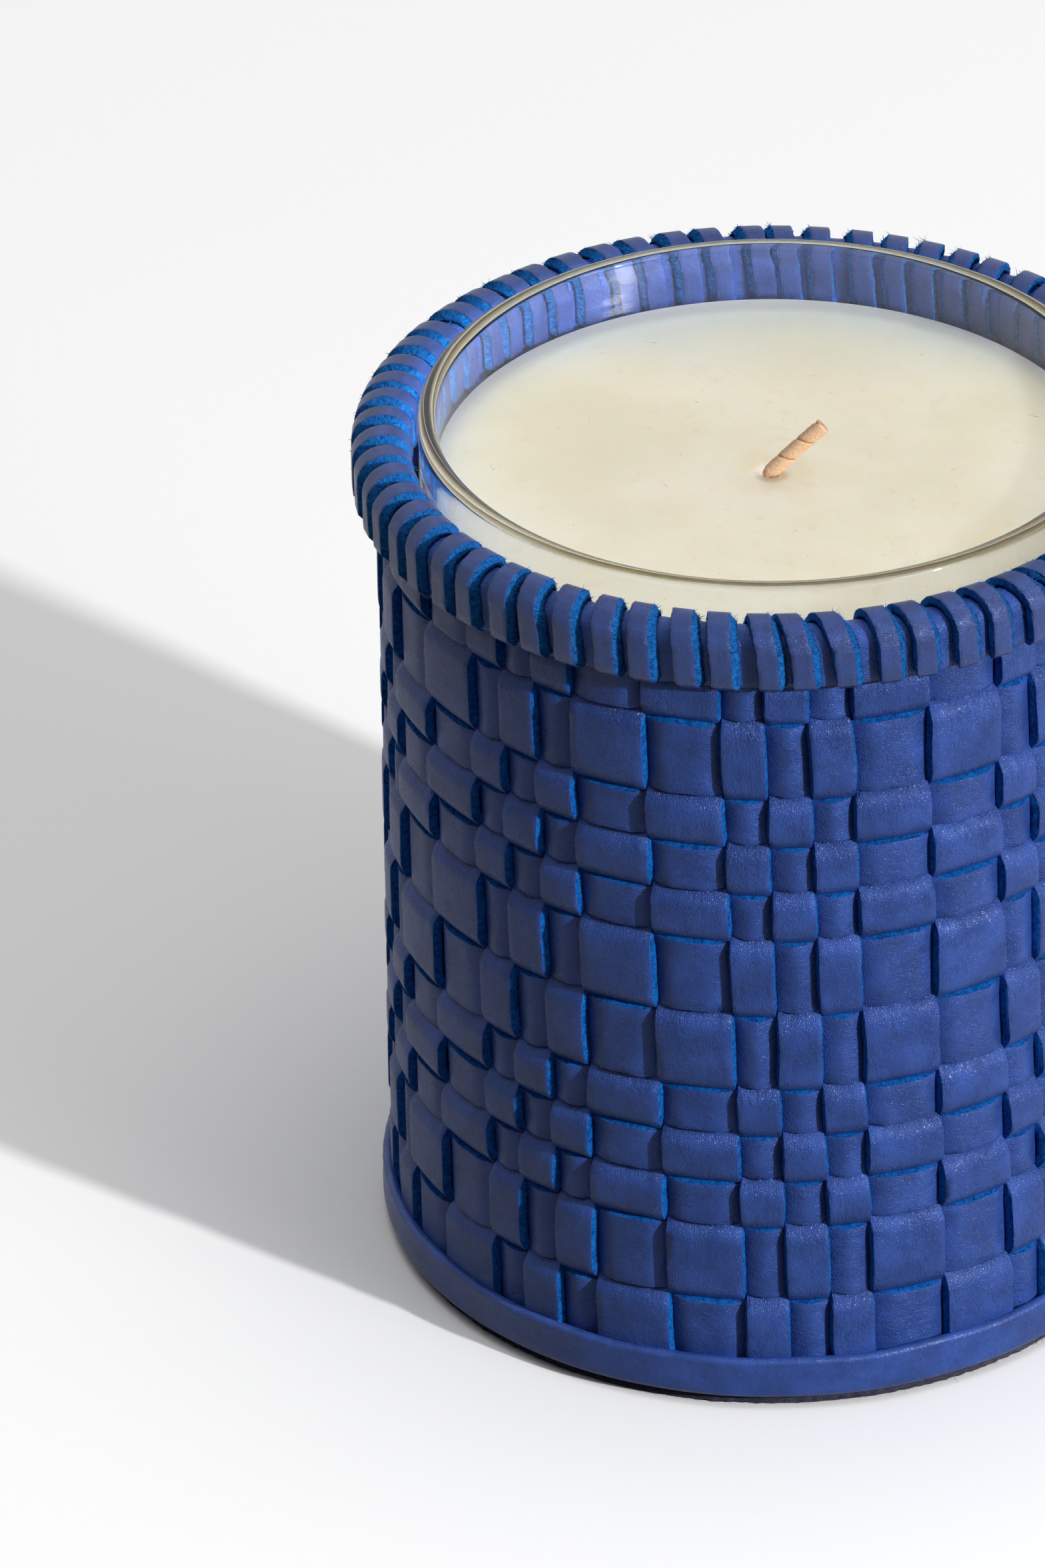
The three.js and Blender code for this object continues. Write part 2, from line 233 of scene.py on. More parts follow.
# %% Finishes
class Finish(Tree):
    """A material that is built node by node on one Principled shader."""

    def __init__(self, name, **constants):
        self.material = bpy.data.materials.new(name)
        self.material.use_nodes = True
        super().__init__(self.material.node_tree)
        self.shader = self.node_tree.nodes["Principled BSDF"]
        for socket, value in constants.items():
            self.shader.inputs[socket.replace("_", " ")].default_value = value

    def spot(self):
        """The place in the object, in millimetres."""
        return self.stretch(self.node("TexCoord", {}, {}, "Object"), (1 / MM,) * 3)

    def feed(self, socket, value):
        self.node_tree.links.new(value.socket, self.shader.inputs[socket])

    def tint(self, first, second, share):
        """Feeds the base colour with a blend of two colours."""
        self.feed("Base Color", self.blend(first, second, share))

    def emboss(self, height):
        """Raises the surface by a height in millimetres."""
        sockets = {"Height": height, "Strength": 1.0, "Distance": MM}
        self.feed("Normal", self.node("Bump", {}, sockets))


def color(red, green, blue):
    """A colour as seen on a screen, 0 to 255, as the light it stands for."""
    shares = [value / 255 for value in (red, green, blue)]
    return tuple(v / 12.92 if v <= 0.04045 else ((v + 0.055) / 1.055) ** 2.4 for v in shares)


# %% [markdown]
# ## Light
# One small lamp stands to the right, in front of the object and not much higher than it. It draws the crisp
# shadow on the table and the small shadows that each strip throws on its neighbour. A dim round screen just
# behind it softens the shadow's edge and lays broad highlights on the glass. A wide soft light from above
# fills the rest, and little of it comes from the sides, so the leather keeps a bright and a dark side.
# The lamp is given a steady reach, so that the table is nearly as bright far from it as near it.

# %% Light
LAMP_SIDE = math.radians(52.5)  # from the front towards the right
LAMP_REACH = 0.967  # distance from the axis, on the table's plan
LAMP_RISE = math.radians(25.5)
LAMP_SIZE = 0.022
LAMP_LEVEL = 0.91  # brightness of a white surface that faces the lamp
SCREEN_SIZE = 0.5
SCREEN_LEVEL = 0.17
SCREEN_BEHIND = 1.02  # how many times as far off as the lamp it stands
OVERHEAD_LEVEL = 2.75
HORIZON_LEVEL = 0.02
OVERHEAD_POWER = 8  # the higher, the closer the soft light keeps to the zenith
BACKDROP = 0.95  # what the camera sees round the table, and what gloss and glass mirror

lamp_data = bpy.data.lights.new("lamp", "POINT")
lamp_data.shadow_soft_size = LAMP_SIZE
lamp_data.energy = 4 * math.pi ** 2 * LAMP_LEVEL
lamp_data.use_nodes = True
lamp_tree = Tree(lamp_data.node_tree)
steady = lamp_tree.node("LightFalloff", {}, {"Strength": 1.0}, "Constant")
lamp_data.node_tree.links.new(steady.socket, lamp_data.node_tree.nodes["Emission"].inputs["Strength"])
lamp = show("lamp", lamp_data)
lamp.location = (
    math.sin(LAMP_SIDE) * LAMP_REACH,
    -math.cos(LAMP_SIDE) * LAMP_REACH,
    math.tan(LAMP_RISE) * LAMP_REACH,
)

screen_data = bpy.data.lights.new("screen", "AREA")
screen_data.shape = "DISK"
screen_data.size = SCREEN_SIZE
screen_data.energy = math.pi ** 2 * SCREEN_LEVEL * lamp.location.length_squared
screen = show("screen", screen_data)
screen.location = lamp.location * SCREEN_BEHIND
screen.rotation_euler = lamp.location.to_track_quat("Z", "Y").to_euler()
for light in (lamp, screen):
    light.visible_transmission = False  # shadow rays already bring its light through the glass
print("lamp at", [round(value, 2) for value in lamp.location], "m")

world = bpy.data.worlds.new("studio")
bpy.context.scene.world = world
world.use_nodes = True
sky = Tree(world.node_tree)
rise = sky.part(sky.node("TexCoord", {}, {}, "Generated"), "Z")
overhead = rise.through("MAXIMUM", rise, 0.0) ** OVERHEAD_POWER * OVERHEAD_LEVEL + HORIZON_LEVEL
backdrop = sky.seen()
sky_level = backdrop * BACKDROP + (1 - backdrop) * overhead
background = world.node_tree.nodes["Background"]
world.node_tree.links.new(sky_level.socket, background.inputs["Strength"])
background.inputs["Color"].default_value = (1, 1, 1, 1)

# %% [markdown]
# ## Table
# The table is a wide sheet of white paper: a plain plane far larger than the view. The camera sees it
# white, and glass and gloss mirror it white. It throws only a little light back on the object, as a table
# does whose light is flagged off, and it keeps the shadow.

# %% Table
TABLE_SIDE = 6.0
PAPER_DARK, PAPER_LIGHT = (0.97,) * 3, (0.99,) * 3
PAPER_THROWN_BACK = (0.06,) * 3

paper = Finish("paper", Roughness=0.9, Specular_IOR_Level=0.0)
tooth = paper.blend(PAPER_DARK, PAPER_LIGHT, paper.noise(paper.spot(), 0.6))
paper.tint(PAPER_THROWN_BACK, tooth, paper.seen())

table_half = TABLE_SIDE / 2
corners = [(x * table_half, y * table_half, 0) for x, y in ((-1, -1), (1, -1), (1, 1), (-1, 1))]
table_mesh = bpy.data.meshes.new("table")
table_mesh.from_pydata(corners, [], [(0, 1, 2, 3)])
table_mesh.materials.append(paper.material)
table = show("table", table_mesh)
print("table", TABLE_SIDE, "m wide")

# %% [markdown]
# ## Leather finishes
# The strips are calf leather dyed through. Three surfaces show: the grain side, smooth, with tiny pebbles and
# stretched creases; the raw cut edges, a brighter blue where the fibres stand open; and the flesh side.
# Pebbles are Voronoi cells with soft valleys, and creases are noise pulled long along the strip; the valleys
# and crease lines are darkened as painted shade. Both use the strip's own coordinates, carried on the mesh as
# (across, along, chance), so they turn with the strip.

# %% Leather finishes
GLOSS_TINT = (0.75, 0.82, 1.0, 1)
# Heights of the relief in millimetres.
PEBBLE_HEIGHT = 0.035
LUMP_HEIGHT = 0.045
CREASE_HEIGHT = 0.035
FOLD_HEIGHT = 0.12
SLOW_HEIGHT = 0.2


def strip_place(finish):
    return finish.node("Attribute", {"attribute_name": "strip"}, {}, "Vector")


def grain_leather(name, deep, lit, crease=1.0, pebble=1.0, gloss=0.25, on_strip=True):
    """The smooth outer side of dyed leather."""
    finish = Finish(name, Specular_IOR_Level=gloss, Specular_Tint=GLOSS_TINT)
    place = strip_place(finish) if on_strip else finish.spot()
    slow = finish.noise(place, 0.2, 3.0)
    cells = {"Vector": finish.stretch(place, (4.4, 3.6, 4.4)), "Scale": 1.0, "Randomness": 1.0}
    pebbles = finish.node("TexVoronoi", {"feature": "DISTANCE_TO_EDGE"}, cells).step(0.0, 0.34)
    lumps = finish.noise(place, 2.4, 2.0)
    lines = abs(finish.noise(finish.stretch(place, (1.7, 0.55, 1.0)), 1.0, 3.0, 0.6) - 0.5).step(0.0, 0.07)
    creases = 1 - (1 - lines) * finish.noise(place, 0.33, 2.0).step(0.42, 0.6)
    folds = finish.noise(finish.stretch(place, (0.8, 0.3, 1.0)), 1.0, 2.0, 0.45)
    fine = pebbles * (PEBBLE_HEIGHT * pebble) + lumps * (LUMP_HEIGHT * pebble)
    coarse = creases * (CREASE_HEIGHT * crease) + folds * (FOLD_HEIGHT * crease)
    finish.emboss(fine + coarse + slow * SLOW_HEIGHT)
    tone = finish.blend(deep, lit, slow.step(0.3, 0.7))
    # painted shade: the pebble valleys and crease lines are darkened towards half the deep blue
    painted_valley_shade = tuple(0.5 * value for value in deep)
    finish.tint(painted_valley_shade, tone, pebbles * 0.35 + creases * 0.3 + 0.35)
    finish.feed("Roughness", 0.31 - pebbles * 0.1 + lumps * 0.08)
    return finish.material


def raw_leather(name, deep, lit, on_strip=True):
    """A cut edge or the flesh side: open fibres with no gloss."""
    finish = Finish(name, Roughness=0.95, Specular_IOR_Level=0.1)
    place = strip_place(finish) if on_strip else finish.spot()
    fuzz = finish.noise(place, 6.0, 4.0, 0.7)
    clumps = finish.noise(place, 1.6, 3.0)
    finish.emboss(fuzz * 0.25 + clumps * 0.2)
    finish.tint(deep, lit, (fuzz * 0.6 + clumps * 0.4).step(0.38, 0.6))
    return finish.material


BLUE = color(41, 70, 141), color(57, 90, 174)
LACE_BLUE = color(34, 57, 118), color(47, 74, 146)

strip_grain = grain_leather("strip_grain", *BLUE)
strip_edge = raw_leather("strip_edge", color(4, 58, 136), color(20, 122, 216))
lace_grain = grain_leather("lace_grain", *LACE_BLUE, crease=0.7, pebble=0.7, gloss=0.5)
lace_edge = raw_leather("lace_edge", color(6, 64, 144), color(36, 130, 214))
smooth_grain = grain_leather("smooth_grain", *BLUE, crease=0.3, pebble=0.5, gloss=0.35, on_strip=False)
lining_flesh = raw_leather("lining_flesh", color(20, 40, 96), color(30, 56, 120), on_strip=False)
STRIP_FINISHES = [strip_grain, strip_edge]
leathers = (strip_grain, strip_edge, lace_grain, lace_edge, smooth_grain, lining_flesh)
print("leathers", [leather.name for leather in leathers])

# %% [markdown]
# ## Mesh helpers
# Every strip, ring and vessel here is a loft: a closed outline carried along a path. One function makes the
# faces between neighbouring outlines, gives each column of faces its finish, and stores the strip's own
# coordinates. Hand work is never quite regular, so a seeded wobble of a few cosines moves what a hand
# would move. It is the same on each run.

# %% Mesh helpers
def stacked(*parts):
    """Points, or the strip's coordinates, from three arrays of numbers."""
    return np.stack(np.broadcast_arrays(*parts), -1)


def around(angle, radius, height):
    """Points round the axis: the angle starts at the front and grows towards the right."""
    return stacked(np.sin(angle) * radius, -np.cos(angle) * radius, height)


def rightward(angle):
    """The direction that leads on to the right at each place round the axis."""
    return stacked(np.cos(angle), np.sin(angle), 0.0)


def unit(directions):
    """The same directions with a length of 1."""
    return directions / np.linalg.norm(directions, axis=1)[:, None]


def run_along(points):
    """The length of a line from its first point to each of its points."""
    return np.concatenate([[0], np.cumsum(np.linalg.norm(np.diff(points, axis=0), axis=1))])


def dice(seed):
    """Random numbers that are the same on each run."""
    return np.random.default_rng(seed)


def wobble(seed, turn, slowest, fastest, count=6):
    """A smooth seeded wave of about -1 to 1, with whole numbers of waves in one full turn."""
    chance = dice(seed)
    total = np.zeros_like(turn, dtype=float)
    for _ in range(count):
        waves = chance.integers(slowest, fastest + 1)
        total += np.cos(waves * turn + chance.uniform(0, 2 * np.pi))
    return total / math.sqrt(count)


# %% Lofts
def loft_parts(rings, closed_along):
    """Faces between neighbouring closed outlines, and their columns. rings: outlines by points by 3."""
    along, count = rings.shape[:2]
    first = np.arange(along if closed_along else along - 1)
    column = np.arange(count)
    here = first[:, None] * count
    there = ((first + 1) % along)[:, None] * count
    following = (column + 1) % count
    quads = np.stack([here + column, here + following, there + following, there + column], -1)
    return quads.reshape(-1, 4), np.tile(column, len(first))


def add_mesh(name, points, faces, kinds, strips, materials, body, nodes):
    """A mesh on a body. kinds: the finish of each face, or None for flat faces of one finish."""
    mesh = bpy.data.meshes.new(name)
    mesh.from_pydata(points.tolist(), [], faces)
    for material in materials:
        mesh.materials.append(material)
    if kinds is not None:
        mesh.polygons.foreach_set("material_index", kinds)
        mesh.polygons.foreach_set("use_smooth", np.full(len(mesh.polygons), True))
    carried = mesh.attributes.new("strip", "FLOAT_VECTOR", "POINT")
    carried.data.foreach_set("vector", (strips / MM).astype(np.float32).ravel())
    mesh.update()
    piece = show(name, mesh)
    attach(piece, body)
    if nodes:
        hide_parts(*nodes)
    return piece


def make_piece(name, lofts, materials, body, nodes):
    """One mesh from several lofts: (rings, closed_along, finish of each column, strip coordinates)."""
    points, faces, finishes, strips, caps, start = [], [], [], [], [], 0
    for rings, closed_along, columns, strip in lofts:
        quads, column = loft_parts(rings, closed_along)
        corner = [rings.reshape(-1, 3)[quads[:, i]] for i in range(3)]
        inward = (np.cross(corner[0], corner[1]) * corner[2]).sum() < 0
        if inward:
            quads = quads[:, ::-1]
        points.append(rings.reshape(-1, 3))
        faces.append(quads + start)
        finishes.append(np.asarray(columns)[column])
        strips.append(strip.reshape(-1, 3))
        if not closed_along:
            count = rings.shape[1]
            last = start + rings.shape[0] * count
            ends = [list(range(start, start + count))[::-1], list(range(last - count, last))]
            caps += [end[::-1] for end in ends] if inward else ends
        start += rings.shape[0] * rings.shape[1]
    kinds = np.concatenate([*finishes, np.full(len(caps), len(materials) - 1)]).astype(np.int32)
    points, faces, strips = (np.concatenate(parts) for parts in (points, faces, strips))
    piece = add_mesh(name, points, faces.tolist() + caps, kinds, strips, materials, body, nodes)
    print(name, len(piece.data.polygons), "faces")
    return piece


# %% [markdown]
# ## How a strip is cut
# The knife leans, so a strip is wider on the flesh side than on the grain side, and its cut edges show as
# bright slopes. The outline goes over the grain side, down one slope, back along the flesh side and up the
# other slope, with the grain side's corners rounded a little. Between its edges the grain side is crowned,
# and the knife leaves the corners ragged.

# %% Strip outline
GRAIN, EDGE = 0, 1
CUT_SHARES = (0.4, 0.72, 1.0)  # places down a cut edge, from the grain side to the flesh side
FLESH_SHARE = 0.17
STRIP_APART = 20 * MM  # keeps the pattern of one strip apart from the next one's


def strip_outline(thickness, left_cut, right_cut, steps, corner=0.08 * MM):
    """(share of the width, extra width, height over the middle) of each point; each column's finish."""
    outer, inner = thickness / 2, -thickness / 2
    points = [(-0.5, 0, outer - corner), (-0.5, corner * 0.3, outer - corner * 0.3)]
    points += [(-0.5 + i / steps, 0, outer) for i in range(steps + 1)]
    points[2] = (-0.5, corner, outer)
    points[-1] = (0.5, -corner, outer)
    points += [(0.5, -corner * 0.3, outer - corner * 0.3), (0.5, 0, outer - corner)]
    points += [(0.5, right_cut * share, outer - thickness * share) for share in CUT_SHARES]
    points += [(FLESH_SHARE, 0, inner), (-FLESH_SHARE, 0, inner)]
    points += [(-0.5, -left_cut * share, outer - thickness * share) for share in CUT_SHARES[::-1]]
    grain = steps + 4
    finish = [GRAIN] * grain + [EDGE] * (len(points) - grain)
    return np.array(points), finish


def ragged_side(outline, width, amount, seed):
    """How far each point lies from the strip's middle line, with ragged edges."""
    share, extra, _ = outline.T
    side = share * width + extra
    ragged = amount * dice(seed).normal(size=side.shape)
    return side + np.where(np.abs(share) == 0.5, ragged, 0)


def crowned(outline, side, width, crown):
    """How far each point lies over the strip's middle, with a crowned grain side."""
    out = outline[:, 2]
    return out + np.where(out > 0, crown * (1 - (2 * side / width) ** 2), 0)


# %% [markdown]
# ## Uprights of the slit hide
# The wall starts as one hide, slit into 42 uprights of two widths that stay joined at the foot. They lean a
# little round the holder. The widths are shares of the wall's middle circle, and the heights of the weavers
# come off the frame.

# %% Upright layout
UPRIGHTS = 42
UPRIGHT_WIDE_SHARE = 1.86
SLIT = 0.35 * MM
FIRST_EDGE = math.radians(-154.8)
LEAN = math.radians(4.2)
WEAVERS = 12


def is_wide(index):
    """Two wide uprights, then three narrow ones."""
    return index % 5 < 2


def outside(upright, weaver):
    """+1 where the upright passes outside the weaver and -1 where it passes behind it."""
    return np.where((upright + weaver) % 2 == 0, -1, 1)


def lean_at(height):
    return -LEAN * (height - (wall_foot + wall_top) / 2) / (wall_top - wall_foot)


shares = np.array([UPRIGHT_WIDE_SHARE if is_wide(i) else 1.0 for i in range(UPRIGHTS)])
upright_width = (2 * math.pi * wall_middle - UPRIGHTS * SLIT) * shares / shares.sum()
slit_angle = FIRST_EDGE + np.concatenate([[0], np.cumsum((upright_width + SLIT) / wall_middle)])
weaver_bottom = np.array([foot_of(f"weaver_{k + 1:02d}") for k in range(WEAVERS)])
weaver_height = np.array([top_of(f"weaver_{k + 1:02d}") for k in range(WEAVERS)]) - weaver_bottom
weaver_gap = weaver_bottom[1] - weaver_bottom[0] - weaver_height[0]
crossing_edge = np.append(weaver_bottom - weaver_gap / 2, wall_top)
print("upright widths", sorted({round(w / MM, 2) for w in upright_width}), "mm")

# %% [markdown]
# Each upright bends out over a weaver and in behind the next. The bend follows a quarter sine near each
# crossing, which is how a strip springs when it is pulled tight over an edge. The uprights are dressed as a
# left and a right half of the hide, because that many strips are heavy as one mesh.

# %% Uprights
STRIP_THICKNESS = 1.2 * MM
STRIP_STEPS = 8  # points across the grain side
UPRIGHT_SWELL = 1.25 * MM
UPRIGHT_BEND = 2.1 * MM  # length of the bend on each side of a crossing's edge
UPRIGHT_SWAY = 0.07 * MM  # unevenness of the width
UPRIGHT_DRIFT = 0.09 * MM  # unevenness of the place
UPRIGHT_RAGGED = 0.035 * MM
UPRIGHT_CROWN = 0.03 * MM
LEVELS_PER_BEND = 5
FOOT_REACH = 1.5 * MM  # the uprights start this far below the wall's foot
RIM_REACH = 1.2 * MM  # and run up this far into the rim


def spring(near, bend):
    """0 at the edge of a crossing, 1 past the bend, and a quarter sine between."""
    return np.sin(np.pi / 2 * np.clip(near / bend, 0, 1))


def upright_levels():
    """Heights of the outlines: close together in the bends, wide apart on the flats."""
    levels = [np.linspace(wall_foot - FOOT_REACH, wall_foot, 3, endpoint=False)]
    for k in range(WEAVERS):
        low, high = crossing_edge[k], crossing_edge[k + 1]
        levels.append(np.linspace(low, low + UPRIGHT_BEND, LEVELS_PER_BEND, endpoint=False))
        levels.append(np.linspace(low + UPRIGHT_BEND, high - UPRIGHT_BEND, 3, endpoint=False))
        levels.append(np.linspace(high - UPRIGHT_BEND, high, LEVELS_PER_BEND, endpoint=False))
    levels.append(np.array([wall_top, wall_top + RIM_REACH / 2, wall_top + RIM_REACH]))
    return np.concatenate(levels)


def upright_bulge(index, height):
    """How far the upright stands out from the middle of the wall."""
    k = np.clip(np.searchsorted(crossing_edge, height, side="right") - 1, 0, WEAVERS - 1)
    near = np.minimum(height - crossing_edge[k], crossing_edge[k + 1] - height)
    chance = dice(1000 + index).uniform(0.9, 1.08, WEAVERS)
    return outside(index, k) * UPRIGHT_SWELL * chance[k] * spring(near, UPRIGHT_BEND)


def upright(index):
    chance = dice(index)
    left_cut, right_cut = chance.uniform(0.2, 0.34) * MM, chance.uniform(0.22, 0.42) * MM
    outline, finish = strip_outline(STRIP_THICKNESS, left_cut, right_cut, STRIP_STEPS)
    height = upright_levels()
    bulge = upright_bulge(index, height)
    tilt = np.arctan(np.gradient(bulge, height))
    height, bulge, tilt = (values[:, None] for values in (height, bulge, tilt))
    turn = height / (wall_top - wall_foot) * 2 * np.pi
    width = upright_width[index] + SLIT * 0.5 + UPRIGHT_SWAY * wobble(2000 + index, turn, 4, 14)
    drift = UPRIGHT_DRIFT * wobble(3000 + index, turn, 2, 9)
    middle = (slit_angle[index] + slit_angle[index + 1]) / 2 + lean_at(height) + drift / wall_middle
    side = ragged_side(outline, width, UPRIGHT_RAGGED, 4000 + index)
    lift = crowned(outline, side, width, UPRIGHT_CROWN)
    radius = wall_middle + bulge + lift * np.cos(tilt)
    rings = around(middle + side / wall_middle, radius, height - lift * np.sin(tilt))
    strip = stacked(side, height, index * STRIP_APART + outline[:, 2])
    return rings, False, finish, strip


upright_lofts = [upright(index) for index in range(UPRIGHTS)]
halves = {"left": upright_lofts[: UPRIGHTS // 2], "right": upright_lofts[UPRIGHTS // 2 :]}
for name, lofts in halves.items():
    make_piece(f"slit_hide_{name}", lofts, STRIP_FINISHES, "holder", ["slit_hide"])

# %% [markdown]
# ## Weavers
# Twelve strips go round, each over one upright and behind the next. A weaver bends less than the uprights,
# because it is pulled tight round the cup, but it still swells in each window and tucks in at both ends.
# The pull also makes its edges wave a little.

# %% Weavers
WEAVER_SWELL = 1.0 * MM
WEAVER_BEND = 3.0 * MM
WEAVER_PULL = 0.25 * MM  # how far the pull sets the weaver in from the middle of the wall
WEAVER_SWAY = 0.07 * MM
WEAVER_DRIFT = 0.08 * MM
WEAVER_RAGGED = 0.03 * MM
WEAVER_CROWN = 0.05 * MM
WEAVER_BOTTOM_CUT = 0.08 * MM
WEAVER_STEPS = (9, 14)  # outlines on a narrow and on a wide upright


def weaver_angles():
    steps = [WEAVER_STEPS[is_wide(i)] for i in range(UPRIGHTS)]
    parts = zip(slit_angle[:-1], slit_angle[1:], steps)
    return np.concatenate([np.linspace(*part, endpoint=False) for part in parts])


def weaver_bulge(k, angle, height):
    """How far the weaver stands out from the middle of the wall at each point."""
    turn = (angle - lean_at(height) - slit_angle[0]) % (2 * np.pi) + slit_angle[0]
    i = np.clip(np.searchsorted(slit_angle, turn, side="right") - 1, 0, UPRIGHTS - 1)
    near = np.minimum(turn - slit_angle[i], slit_angle[i + 1] - turn) * wall_middle
    chance = dice(5000 + k).uniform(0.85, 1.1, UPRIGHTS)
    return -outside(i, k) * WEAVER_SWELL * chance[i] * spring(near, WEAVER_BEND) - WEAVER_PULL


def weaver(k):
    top_cut = dice(100 + k).uniform(0.36, 0.5) * MM
    outline, finish = strip_outline(STRIP_THICKNESS, WEAVER_BOTTOM_CUT, top_cut, STRIP_STEPS)
    angle = weaver_angles()[:, None]
    width = weaver_height[k] + WEAVER_SWAY * wobble(6000 + k, angle, 20, 70)
    middle = weaver_bottom[k] + weaver_height[k] / 2 + WEAVER_DRIFT * wobble(7000 + k, angle, 5, 40)
    side = ragged_side(outline, width, WEAVER_RAGGED, 8000 + k)
    height = middle + side
    lift = crowned(outline, side, width, WEAVER_CROWN)
    radius = wall_middle + weaver_bulge(k, angle, height) + lift
    strip = stacked(side, angle * wall_middle, k * STRIP_APART + outline[:, 2])
    return around(angle, radius, height), True, finish, strip


for k in range(WEAVERS):
    name = f"weaver_{k + 1:02d}"
    make_piece(f"woven_{name}", [weaver(k)], STRIP_FINISHES, "holder", [name])

# %% [markdown]
# ## Rim
# A leather binding is folded over the top of the wall. It is a ring with the outline of an arch, and it puffs
# out a little between the turns of the lace that holds it down.

# %% Rim binding
BINDING_DROP = 0.9 * MM  # the binding's lower edges hang this far below the core
BINDING_OUTSET = 0.1 * MM
BINDING_FLESH_SIDE, BINDING_FLESH_TOP = 0.8 * MM, 0.9 * MM  # how far in the flesh side lies
BINDING_PUFF = 0.13 * MM
BINDING_SWAY = 0.05 * MM
RIM_STEPS = 512
RIM_SIDE_STEPS = 6
LACE_TURNS = 64
ARCH_START = math.radians(60)
binding_foot = foot_of("rim_core") - BINDING_DROP
shoulder = lace_top - lace_reach * math.sin(ARCH_START)


def rim_path(reach, rise, foot, side_steps, arch_steps):
    """Distance from the rim's middle, and height, of a line over the rim from the outer foot."""
    side = np.linspace(foot, shoulder, side_steps, endpoint=False)
    arch = np.linspace(0, np.pi, arch_steps)
    straight = np.full(side_steps, reach)
    distance = np.concatenate([straight, reach * np.cos(arch), -straight])
    height = np.concatenate([side, shoulder + rise * np.sin(arch), side[::-1]])
    return np.stack([distance, height], -1)


def rim_binding():
    rise = lace_top - shoulder - (lace_reach - binding_reach)
    outer = rim_path(binding_reach + BINDING_OUTSET, rise, binding_foot, RIM_SIDE_STEPS, 15)
    inner_reach = binding_reach - BINDING_FLESH_SIDE
    inner = rim_path(inner_reach, rise - BINDING_FLESH_TOP, binding_foot, RIM_SIDE_STEPS, 9)
    outline = np.concatenate([outer, inner[::-1]])
    distance, height = outline.T
    turn = np.linspace(0, 2 * np.pi, RIM_STEPS, endpoint=False)[:, None]
    puff = BINDING_PUFF * wobble(31, turn, LACE_TURNS, LACE_TURNS, 1)
    puff += BINDING_SWAY * wobble(32, turn, 90, 170)
    is_outer = np.arange(len(outline)) < len(outer)
    reach = distance + np.where(is_outer, np.sign(distance), 0) * puff
    strip = stacked(run_along(outline), turn * rim_middle, 0.7)
    return around(turn, rim_middle + reach, height), True, np.where(is_outer, GRAIN, EDGE), strip


binding = [rim_binding()]
make_piece("folded_binding", binding, STRIP_FINISHES, "holder", ["rim_binding"])

# %% [markdown]
# A flat lace is whipped round the binding: up the outside, over the top, down the inside and back under
# the core. It is one strip from end to end. Each of its 64 turns is placed by hand, so distances vary.

# %% Lace
LACE_THICKNESS = 1.05 * MM
LACE_GRAIN_WIDTH = 2.6 * MM
LACE_RIGHT_CUT = 0.9 * MM
LACE_LEFT_CUT = 0.12 * MM
LACE_CORNER = 0.1 * MM
LACE_SWAY = 0.12 * MM
LACE_RAGGED = 0.05 * MM
LACE_SLANT = math.radians(3.0)
LACE_BEND = 0.8 * MM  # radius of the bend in under the core
LACE_SIDE_STEPS = 5
LACE_ARCH_STEPS = 30
UNDER_STEPS = 6
STEP_LENGTH = 0.9 * MM  # about the length of lace from one outline to the next


def lace_profile():
    """Distance and height of the lace's middle over the rim and back under it, and the way out of it."""
    middle = lace_reach - LACE_THICKNESS / 2
    rise = lace_top - shoulder - LACE_THICKNESS / 2
    foot = lace_foot + LACE_THICKNESS / 2
    over = rim_path(middle, rise, foot + LACE_BEND, LACE_SIDE_STEPS, LACE_ARCH_STEPS)
    under = np.linspace(-middle + LACE_BEND, middle - LACE_BEND, UNDER_STEPS)
    line = np.concatenate([over, np.stack([under, np.full(UNDER_STEPS, foot)], -1)])
    along = unit(np.roll(line, -1, axis=0) - np.roll(line, 1, axis=0))
    return line, np.stack([along[:, 1], -along[:, 0]], -1)


def whipped_lace():
    line, outward = lace_profile()
    pitch = 2 * np.pi / LACE_TURNS
    chance = dice(77)
    uneven = chance.uniform(-0.5, 0.5, LACE_TURNS + 1) * MM / rim_middle
    start = np.pi - pitch * np.arange(LACE_TURNS + 1) + uneven
    slant = LACE_SLANT * chance.uniform(0.6, 1.3, LACE_TURNS)
    over = np.linspace(0, 1, len(line) - UNDER_STEPS)
    under = np.linspace(0, 1, UNDER_STEPS + 2)[1:-1]
    angles = []
    for turn in range(LACE_TURNS):
        end = start[turn] - slant[turn]
        angles += [start[turn] - slant[turn] * over, end + (start[turn + 1] - end) * under]
    angle = np.concatenate(angles)[:, None]
    line, outward = np.tile(line, (LACE_TURNS, 1)), np.tile(outward, (LACE_TURNS, 1))
    outline, finish = strip_outline(LACE_THICKNESS, LACE_LEFT_CUT, LACE_RIGHT_CUT, 4, LACE_CORNER)
    out = outline[:, 2]
    width = LACE_GRAIN_WIDTH + LACE_SWAY * wobble(41, angle, 60, 200)
    side = ragged_side(outline, width, LACE_RAGGED, 42) - LACE_RIGHT_CUT / 2
    radius = rim_middle + line[:, :1] + out * outward[:, :1]
    middle = around(angle, radius, line[:, 1:] + out * outward[:, 1:])
    rings = middle + side[..., None] * rightward(angle)
    strip = stacked(side, np.arange(len(angle))[:, None] * STEP_LENGTH, out)
    return rings[:-UNDER_STEPS], False, finish, strip[:-UNDER_STEPS]


lace_loft = whipped_lace()
make_piece("whipped_lace", [lace_loft], [lace_grain, lace_edge], "holder", ["rim_lace"])

# %% [markdown]
# ## Loose fibres
# A knife leaves the edge of thick leather furry. The fibres are short tapered needles that start on the raw
# edges, mostly on the lace, and curl a little. One function makes them all as one mesh, from their roots and
# directions, so ten thousand cost no more code than one.

# %% Fibres
FIBRE_SIDES = 3
FIBRE_STATIONS = np.array([0.0, 0.55, 1.0])
FIBRE_TAPER = np.array([1.0, 0.75, 0.15])
FIBRE_CURL = 0.45


